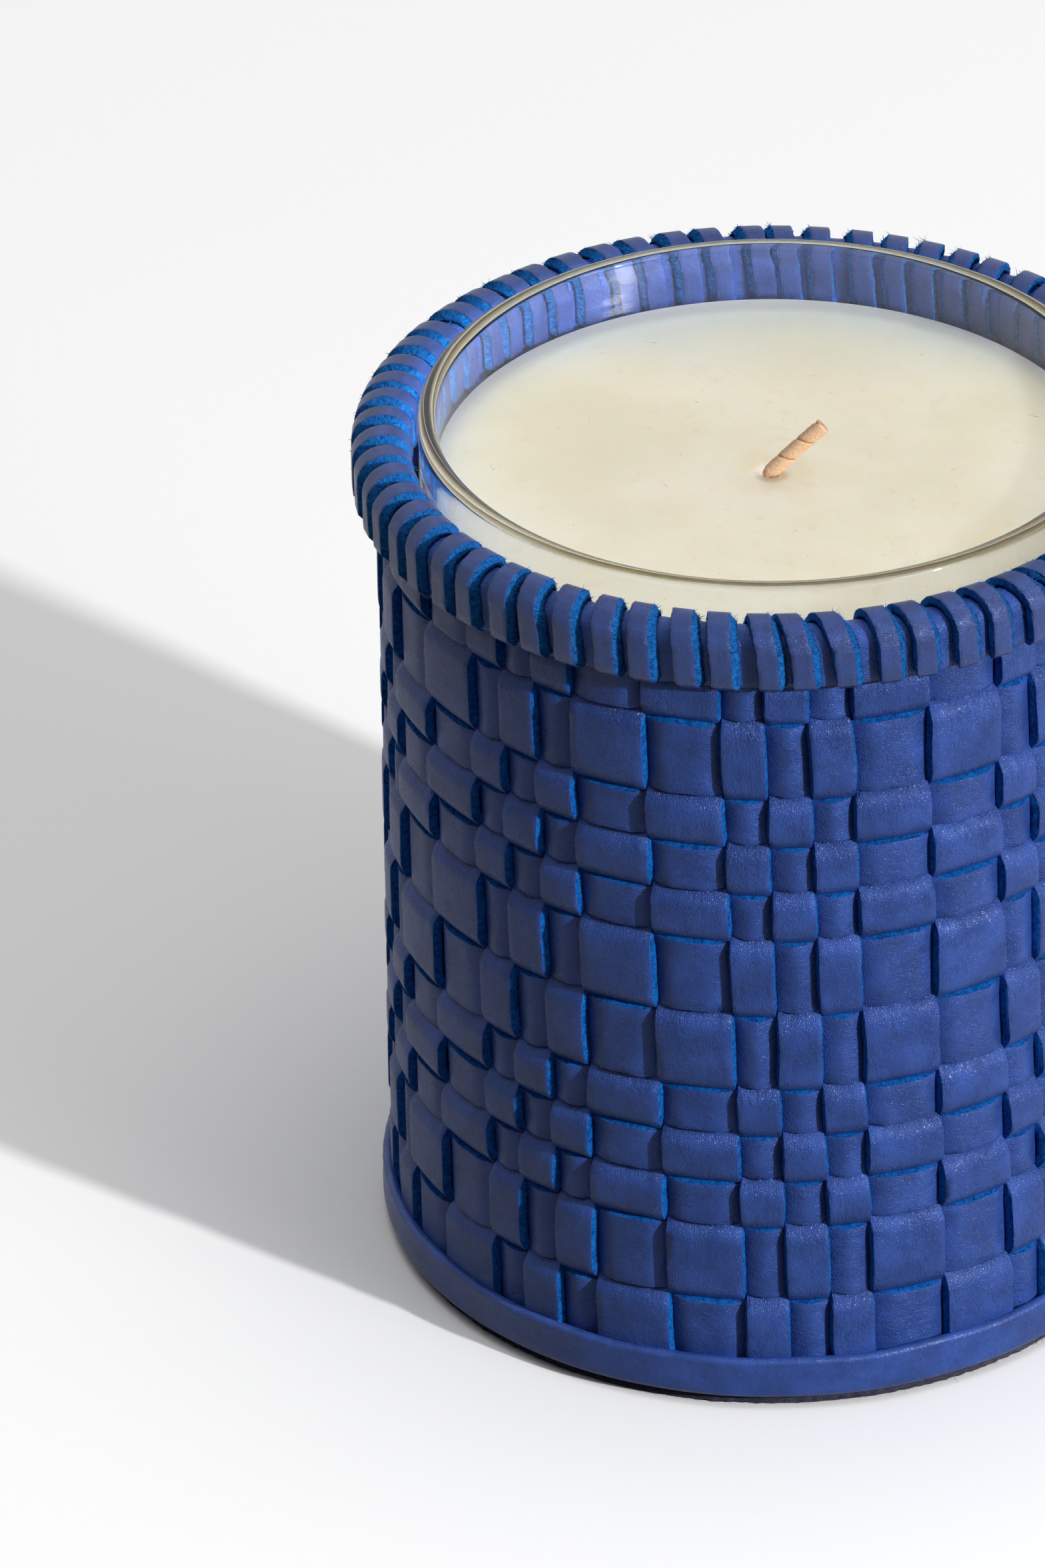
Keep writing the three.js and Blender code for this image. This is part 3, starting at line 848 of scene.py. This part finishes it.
def fibres(name, roots, directions, length, thickness, seed, material, body="holder"):
    """Tapered needles from the roots, each bent towards a side of its own."""
    chance = dice(seed)
    count = len(roots)
    directions = unit(directions)
    side = unit(np.cross(directions, chance.normal(size=(count, 3))))
    other = np.cross(directions, side)
    reach = chance.gamma(2.2, length / 2.2, count)
    bend = chance.normal(0.0, FIBRE_CURL, count)
    stations = FIBRE_STATIONS[:, None]
    curl = (side * bend[:, None])[:, None] * stations ** 2
    middle = roots[:, None] + reach[:, None, None] * (directions[:, None] * stations + curl)
    turn = (np.arange(FIBRE_SIDES) * 2 * np.pi / FIBRE_SIDES)[:, None]
    spoke = np.cos(turn) * side[:, None] + np.sin(turn) * other[:, None]
    width = thickness / 2 * chance.uniform(0.6, 1.3, count)
    radius = width[:, None] * FIBRE_TAPER
    rings = middle[:, :, None] + radius[..., None, None] * spoke[:, None]
    rings[..., 2] = np.maximum(rings[..., 2], 0.0)  # fibres lie down on the table
    per = len(FIBRE_STATIONS) * FIBRE_SIDES
    start = np.arange(count)[:, None, None] * per
    walls = loft_parts(rings[0], False)[0] + start
    ends = np.array([[2, 1, 0], [per - 3, per - 2, per - 1]]) + start
    faces = walls.reshape(-1, 4).tolist() + ends.reshape(-1, 3).tolist()
    points = rings.reshape(-1, 3)
    add_mesh(name, points, faces, None, points, [material], body, [])
    print(name, count, "fibres")


# %% [markdown]
# The roots lie at random on the right cut edges, and each fibre starts about square to the cut. Behind a
# weaver an upright's edge is pressed flat, so only the parts that stand out of the wall are furry.

# %% Furry edges
LACE_FIBRES = 12000
UPRIGHT_FIBRES = 150  # on each upright
EDGE_COLUMNS = 4  # columns of faces down the right cut edge
PROUD = 0.2 * MM  # how far a furry part stands out from the middle of the wall


def furry_edge(loft, count, chance, spread):
    """Random roots on the right cut edge of a strip, and directions that stand out of it."""
    rings, _, finish, _ = loft
    first = finish.index(EDGE) - 1
    ring = chance.integers(0, len(rings) - 1, count)
    column = chance.integers(first, first + EDGE_COLUMNS, count)
    t, s = chance.uniform(size=(2, count, 1))
    near = rings[ring, column] * (1 - s) + rings[ring, column + 1] * s
    far = rings[ring + 1, column] * (1 - s) + rings[ring + 1, column + 1] * s
    roots = near * (1 - t) + far * t
    across_edge = rings[ring, column + 1] - rings[ring, column]
    normal = np.cross(across_edge, rings[ring + 1, column] - rings[ring, column])
    normal /= np.linalg.norm(normal, axis=1)[:, None] + 1e-12
    right = rightward(np.arctan2(roots[:, 0], -roots[:, 1]))
    normal *= np.sign((normal * right).sum(1))[:, None]
    return roots, normal + chance.normal(0, spread, roots.shape)


chance = dice(900)
roots, stand = furry_edge(lace_loft, LACE_FIBRES, chance, 0.55)
fibres("lace_fibres", roots, stand, 0.32 * MM, 0.07 * MM, 901, lace_edge)

furry = [furry_edge(loft, UPRIGHT_FIBRES, chance, 0.5) for loft in upright_lofts]
roots, stand = (np.concatenate(parts) for parts in zip(*furry))
proud = np.hypot(roots[:, 0], roots[:, 1]) > wall_middle + PROUD
roots, stand = roots[proud], stand[proud]
fibres("upright_fibres", roots, stand, 0.16 * MM, 0.04 * MM, 902, strip_edge)

# %% [markdown]
# ## Turned pieces
# The base cover, the felt, the glass and the wax are turned shapes: a closed profile goes once round the
# axis, as on a lathe. Each has a function of its own that makes it a little uneven.

# %% Turned pieces
AXIS_GAP = 2 * MM  # a turned profile stops this far from the axis
EVEN_RADIUS = 20 * MM  # nothing is uneven nearer to the axis


def turned(name, profile, steps, dent, material, body, node):
    """A closed profile of (radius, height) turned round the axis. dent(turn, radius, height) moves it."""
    profile = np.array(profile)
    turn = np.linspace(0, 2 * np.pi, steps, endpoint=False)[:, None]
    rings = around(turn, *dent(turn, *profile.T))
    strip = stacked(run_along(profile), turn * profile[:, 0].max(), 0.5)
    make_piece(name, [(rings, True, [0] * len(profile), strip)], [material], body, [node])


def bow(center, size, start, end, steps):
    """Points of a circular stretch of a profile, between two directions in degrees."""
    angle = np.radians(np.linspace(start, end, steps))
    return [(center[0] + size * math.cos(a), center[1] + size * math.sin(a)) for a in angle]


# %% [markdown]
# ## Base
# A smooth leather cover is folded round the foot, with a soft rounded lip. It is one thin profile, drawn in
# a little under the lip, where the leather grips the wall.

# %% Base cover
LIP = 0.75 * MM
COVER_TUCK = 0.9 * MM
LIP_ZONE = 2 * MM  # the cover's edge is uneven down to here
board_foot = foot_of("base_board")
cover_side = [
    (cover_radius + 0.02 * MM, cover_foot + 2.4 * MM),
    (cover_radius - 0.12 * MM, cover_top - 2.2 * MM),
]
cover_profile = (
    [(AXIS_GAP, cover_foot)]
    + bow((cover_radius - COVER_TUCK, cover_foot + COVER_TUCK), COVER_TUCK, -90, 0, 7)
    + cover_side
    + bow((cover_radius - LIP, cover_top - LIP), LIP, 0, 180, 11)
    + [(cover_radius - 2 * LIP, cover_foot + 2.5 * MM), (cover_radius - 2 * LIP, board_foot)]
    + [(AXIS_GAP, board_foot)]
)


def cover_dent(turn, radius, height):
    near_lip = np.clip((height - (cover_top - LIP_ZONE)) / LIP_ZONE, 0, 1)
    sway = 0.06 * MM * wobble(51, turn, 3, 17) + 0.03 * MM * wobble(52, turn, 60, 140) * near_lip
    rise = near_lip * 0.08 * MM * wobble(53, turn, 4, 22)
    return radius - 0.1 * MM + np.where(radius > EVEN_RADIUS, sway, 0), height + rise


turned("folded_cover", cover_profile, 360, cover_dent, smooth_grain, "holder", "base_cover")

# %% [markdown]
# A felt pad is glued under the cover, a little smaller than it. Its edge is frayed, and loose fibres stand
# out of it all round.

# %% Felt pad
FELT_INSET = 0.55 * MM
FELT_ROUNDING = 0.35 * MM
FELT_FIBRES = 9000

felt = Finish("felt", Roughness=1.0, Specular_IOR_Level=0.1, Sheen_Weight=0.3)
felt_place = felt.spot()
felt_fuzz = felt.noise(felt.stretch(felt_place, (1, 1, 2.4)), 3.4, 6.0, 0.7)
felt_clumps = felt.noise(felt_place, 0.8, 3.0)
felt.emboss(felt_fuzz * 0.35 + felt_clumps * 0.3)
felt.tint(color(26, 26, 62), color(58, 56, 104), felt_fuzz.step(0.35, 0.66))

felt_radius, felt_top = radii_of("base_felt")[1] - FELT_INSET, top_of("base_felt")
felt_profile = (
    [(AXIS_GAP, 0.0)]
    + bow((felt_radius - FELT_ROUNDING, FELT_ROUNDING), FELT_ROUNDING, -90, 0, 4)
    + bow((felt_radius - FELT_ROUNDING, felt_top - FELT_ROUNDING), FELT_ROUNDING, 0, 90, 4)
    + [(AXIS_GAP, felt_top)]
)


def felt_dent(turn, radius, height):
    fray = 0.05 * MM * wobble(61, turn, 8, 60) + 0.08 * MM * wobble(62, turn + height * 900, 90, 250)
    return radius + np.where(radius > EVEN_RADIUS, fray, 0), height


turned("felt_pad", felt_profile, 720, felt_dent, felt.material, "holder", "base_felt")

chance = dice(63)
bearing = chance.uniform(0, 2 * np.pi, FELT_FIBRES)
level = chance.uniform(0.15, 0.95, FELT_FIBRES) * felt_top
roots = around(bearing, felt_radius - 0.05 * MM, level)
stand = around(bearing, 1.0, 0.0) + chance.normal(0, 0.9, (FELT_FIBRES, 3)) * np.array([1, 1, 0.5])
fibres("felt_fibres", roots, stand, 0.3 * MM, 0.04 * MM, 64, felt.material)

# %% [markdown]
# ## Glass
# The tumbler is clear, with a wall of about two millimetres, a thick floor and a rim melted round. The same
# closed outline is turned with a faint unevenness, so that reflections break as they do in pressed glass.
# Lamps pass through it: light that only looks for the lamp finds a nearly clear surface.

# %% Glass
GLASS_WALL = 2.2 * MM
GLASS_FLOOR = 5 * MM
GLASS_AXIS_GAP = 1.5 * MM
FOOT_ROUNDING = 4 * MM
HEEL_ROUNDING = 3 * MM
CLEAR = (0.95, 0.96, 0.955, 1)

glass = Finish("glass", Roughness=0.0, IOR=1.5, Transmission_Weight=1.0, Base_Color=(1.0, 1.0, 1.0, 1))
glass_clear = glass.node("BsdfTransparent", {}, {"Color": CLEAR})
glass_sockets = {0: glass.ray("Shadow"), 1: Wire(glass, glass.shader.outputs[0]), 2: glass_clear}
glass_mix = glass.node("MixShader", {}, glass_sockets)
glass_end = glass.node_tree.nodes["Material Output"]
glass.node_tree.links.new(glass_mix.socket, glass_end.inputs["Surface"])

glass_inner = glass_radius - GLASS_WALL
glass_floor_top = glass_foot + GLASS_FLOOR
half_wall = GLASS_WALL / 2
outer_heights = np.linspace(glass_foot + 6 * MM, glass_top - 3 * MM, 12)
inner_heights = np.linspace(glass_top - 3 * MM, glass_floor_top + 4 * MM, 12)
glass_profile = (
    [(GLASS_AXIS_GAP, glass_foot)]
    + bow((glass_radius - FOOT_ROUNDING, glass_foot + FOOT_ROUNDING), FOOT_ROUNDING, -90, 0, 9)
    + [(glass_radius, height) for height in outer_heights]
    + bow((glass_radius - half_wall, glass_top - half_wall), half_wall, 0, 180, 17)
    + [(glass_inner, height) for height in inner_heights]
    + bow((glass_inner - HEEL_ROUNDING, glass_floor_top + HEEL_ROUNDING), HEEL_ROUNDING, 0, -90, 7)
    + [(GLASS_AXIS_GAP, glass_floor_top)]
)


def glass_dent(turn, radius, height):
    sway = 0.02 * MM * wobble(71, turn + height * 20, 2, 9) + 0.008 * MM * wobble(72, turn, 12, 40)
    return radius + np.where(radius > EVEN_RADIUS, sway, 0) - 0.02 * MM, height


turned("glass_tumbler", glass_profile, 288, glass_dent, glass.material, "candle", "glass_cup")

# %% [markdown]
# ## Wax
# Poured wax is creamy, a little translucent, dished round the wick, and it climbs the glass. Light enters it
# and comes out nearby, so the shader scatters under the surface. Its colour is mottled and warmer in a collar
# round the wick. A bluish cast is painted towards the back as light from the blue leather, and painted shade
# makes it darker down the wall behind the glass. Its top is a fine grid of rings that slow waves move by a
# few hundredths of a millimetre.

# %% Wax finish
WAX_WETTING = 0.04 * MM  # the wax lies this far into the glass, so no air shows between them
wax_radius = glass_inner + WAX_WETTING
wax = Finish(
    "wax",
    Specular_IOR_Level=0.7,
    Subsurface_Weight=1.0,
    Subsurface_Radius=(1.0, 0.8, 0.5),
    Subsurface_Scale=20 * MM,
)
wax_place = wax.spot()
cloud = wax.noise(wax_place, 0.035, 3.0)
mottle = wax.noise(wax_place, 0.45, 4.0)
fleck = wax.noise(wax.stretch(wax_place, (1.0, 2.6, 1.0)), 2.2, 2.0).step(0.73, 0.78)
warm = wax.noise(wax_place, 0.075, 2.0).step(0.5, 0.66)
from_wick = wax.distance(wax_place, (1.0, 0.8, 0.0))
collar = (1 - from_wick.step(1.5, 6.5)) * mottle.step(0.3, 0.6)
# painted light: the wax turns bluish towards the back, as if lit by the blue leather round it
painted_back_blue_light = wax.part(wax_place, "Y") + cloud * 14.0
from_axis = wax.distance(wax_place, (1.0, 1.0, 0.0))
# painted shade: near the glass the wax darkens more the deeper it lies below its edge
drop = wax_edge / MM - wax.part(wax_place, "Z")
painted_side_shade = from_axis.step(wax_radius / MM - 0.5, wax_radius / MM - 0.1) * drop.step(3.0, 16.0)

wax_tone = wax.blend(color(226, 218, 192), color(234, 227, 207), cloud.step(0.35, 0.65))
wax_layers = (
    (color(214, 204, 176), mottle.step(0.58, 0.78) * 0.35),
    (color(232, 212, 178), warm * 0.2),
    (color(232, 206, 160), collar * 0.55),
    (color(160, 140, 112), fleck * 0.2),
    # painted light: bluish towards the back
    (color(190, 197, 194), painted_back_blue_light.step(26.0, 50.0) * 0.75),
    # painted shade: darker down the side
    (color(150, 142, 118), painted_side_shade * 0.45),
)
for tone, share in wax_layers:
    wax_tone = wax.blend(wax_tone, tone, share)
wax.feed("Base Color", wax_tone)
wax.feed("Roughness", 0.18 + mottle * 0.12)
wax.emboss(mottle * 0.05 + cloud * 0.5)
print("wax", len(wax_layers), "layers of colour")

# %% [markdown]
# The wax is cast round the wick and its tab, so the profile leaves a bore for the wick and a hollow for the
# tab and its neck. A little lint has settled on the top.

# %% Wax
WAX_DISH = 1.4 * MM
WAX_LIP = 2.0 * MM
WICK_BORE = 1.35 * MM
TAB_GAP = 0.25 * MM
TAB_HOLLOW = 0.75 * MM  # height of the hollow for the tab's disc
NECK_HOLLOW = 2.1 * MM  # radius of the hollow for its neck
LINT_HAIRS = 130


def wax_height(radius):
    """The top of the wax: a shallow dish with a lip up the glass."""
    share = radius / (wax_radius - WAX_LIP)
    dish = wax_edge - WAX_DISH * (1 - 0.5 * np.clip(share, 0, 1) ** 2)
    lip = np.clip((radius - (wax_radius - WAX_LIP)) / WAX_LIP, 0, 1)
    return dish + WAX_DISH * 0.5 * lip ** 2.2


tab_radius = radii_of("wick_tab")[1] + TAB_GAP
tab_top = foot_of("wick_tab") + TAB_HOLLOW
neck_top = top_of("wick_tab") + TAB_GAP
top_shares = np.linspace(0, 1, 26)[1:-1] ** 0.9
top_radii = wax_radius - (wax_radius - WICK_BORE) * top_shares
wax_profile = (
    [(tab_radius, wax_foot), (wax_radius - HEEL_ROUNDING, wax_foot)]
    + bow((wax_radius - HEEL_ROUNDING, wax_foot + HEEL_ROUNDING), HEEL_ROUNDING, -75, 0, 5)
    + [(wax_radius, height) for height in np.linspace(wax_foot + 5 * MM, wax_edge - 0.3 * MM, 14)]
    + [(wax_radius - 0.05 * MM, wax_edge)]
    + [(radius, wax_height(radius)) for radius in top_radii]
    + [(WICK_BORE, wax_height(0.0)), (WICK_BORE, neck_top), (NECK_HOLLOW, neck_top)]
    + [(NECK_HOLLOW, tab_top), (tab_radius, tab_top)]
)


def wax_dent(turn, radius, height):
    on_top = (height > wax_edge - 3 * MM) & (radius < wax_radius - 0.5 * MM)
    swell = 0.05 * MM * wobble(81, turn + radius * 70, 1, 6) * np.clip(radius / wax_radius, 0, 1)
    return radius, height + np.where(on_top, swell, 0)


turned("poured_wax", wax_profile, 240, wax_dent, wax.material, "candle", "wax_fill")

lint = Finish("lint", Roughness=0.7, Specular_IOR_Level=0.2)
lint_mix = lint.noise(lint.spot(), 0.5).step(0.4, 0.6)
lint.tint(color(140, 112, 88), color(206, 180, 146), lint_mix)
chance = dice(95)
spread = np.sqrt(chance.uniform(0.01, 0.93, LINT_HAIRS)) * wax_radius
bearing = chance.uniform(0, 2 * np.pi, LINT_HAIRS)
roots = around(bearing, spread, wax_height(spread) + 0.02 * MM)
lie = chance.normal(0, 1, (LINT_HAIRS, 3)) * np.array([1, 1, 0.02])
fibres("wax_lint", roots, lie, 0.6 * MM, 0.045 * MM, 96, lint.material, "candle")

# %% [markdown]
# ## Wick
# A paper-cored cotton wick stands straight in the wax and leans over to the right above it. It is a tube
# along that line. A seam winds round it, as a shallow groove in the tube and a brown line in its finish.

# %% Wick
WICK_RADIUS = 1.02 * MM
WICK_LEAN = 6.5 * MM
WICK_LEAN_BACK = 1.0 * MM
WICK_BEND_POWER = 1.06
WICK_STRAIGHT_SHARE = 0.3  # of the cord's outlines, spent on the stretch in the wax
WICK_PROUD = 6.1 * MM
SEAM_TURN = 0.31  # turns of the seam for each millimetre
SEAM_WIDTH = 0.16
SEAM_DEPTH = 0.16  # as a share of the radius
wick_foot = foot_of("wick")
wick_base = wax_height(0.0)

cotton = Finish("cotton", Roughness=0.9, Specular_IOR_Level=0.2)
cotton_place = strip_place(cotton)
yarn = cotton.noise(cotton.stretch(cotton_place, (2.5, 9.0, 1.0)), 1.0, 5.0, 0.65)
cotton.emboss(yarn * 0.09)
half_phase = cotton.part(cotton_place, "X") * 0.5
seam_line = 1 - abs(half_phase.through("SINE", half_phase)).step(0.03, 0.2)
cotton_tone = cotton.blend(color(206, 160, 122), color(238, 206, 172), yarn.step(0.3, 0.7))
cotton.tint(cotton_tone, color(158, 104, 66), seam_line * 0.8)


def wick_line(share):
    """The middle of the wick: straight up through the wax, then over to the right."""
    straight = np.clip(share / WICK_STRAIGHT_SHARE, 0, 1)
    bend = np.clip((share - WICK_STRAIGHT_SHARE) / (1 - WICK_STRAIGHT_SHARE), 0, 1)
    lean = bend ** WICK_BEND_POWER
    height = wick_foot + (wick_base - wick_foot) * straight + WICK_PROUD * bend
    return np.stack([WICK_LEAN * lean, WICK_LEAN_BACK * lean, height], -1)


def wick_loft():
    middle = wick_line(np.linspace(0, 1, 90))
    along = unit(np.gradient(middle, axis=0))
    right = unit(np.cross(np.array([0.0, 1.0, 0.0]), along))
    toward = np.cross(along, right)
    turn = np.linspace(0, 2 * np.pi, 24, endpoint=False)
    length = run_along(middle)[:, None]
    phase = turn - 2 * np.pi * SEAM_TURN * length / MM
    seam = np.exp(-((np.sin(phase / 2) / SEAM_WIDTH) ** 2))
    rough = 0.02 * MM * dice(91).normal(size=seam.shape)
    radius = WICK_RADIUS * (1 - SEAM_DEPTH * seam) + rough
    spoke = np.cos(turn)[:, None] * right[:, None] + np.sin(turn)[:, None] * toward[:, None]
    rings = middle[:, None] + radius[..., None] * spoke
    return rings, False, [0] * len(turn), stacked(phase * MM, length, 0.3)


cord = make_piece("wick_cord", [wick_loft()], [cotton.material], "candle", ["wick"])
cord.visible_shadow = False  # light that runs through the wax fills the shadow of so thin a cord

# %% [markdown]
# ## Parts inside
# The lining, board, pad, core, tab and sticker are hidden while the candle is whole. They keep the frame's
# own shapes, and each gets the finish of its stuff: suede, pressed board, felt, tin plate and coated paper.

# %% Finishes of the inner parts
board = Finish("board", Roughness=0.85, Specular_IOR_Level=0.2)
board_chips = board.noise(board.spot(), 1.4, 5.0, 0.7)
board.emboss(board_chips * 0.06)
board_mix = board_chips.step(0.3, 0.7)
board.tint(color(128, 108, 84), color(170, 148, 118), board_mix)

tin = Finish("tin", Metallic=1.0)
tin_haze = tin.noise(tin.stretch(tin.spot(), (1, 8, 1)), 1.0, 3.0)
tin.tint(color(178, 181, 186), color(208, 210, 212), tin_haze)
tin.feed("Roughness", 0.28 + tin_haze * 0.2)

sticker = Finish("sticker", Roughness=0.6, Specular_IOR_Level=0.3)
sticker_tooth = sticker.noise(sticker.spot(), 2.5)
sticker.emboss(sticker_tooth * 0.02)
sticker.tint(color(232, 231, 225), color(243, 242, 238), sticker_tooth)

inner_finishes = {
    "wall_lining": lining_flesh,
    "base_board": board.material,
    "rim_core": board.material,
    "seat_pad": felt.material,
    "wick_tab": tin.material,
    "wick_sticker": sticker.material,
}
for node, material in inner_finishes.items():
    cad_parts[node].data.materials.clear()
    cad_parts[node].data.materials.append(material)
print("inner parts", sorted(inner_finishes))
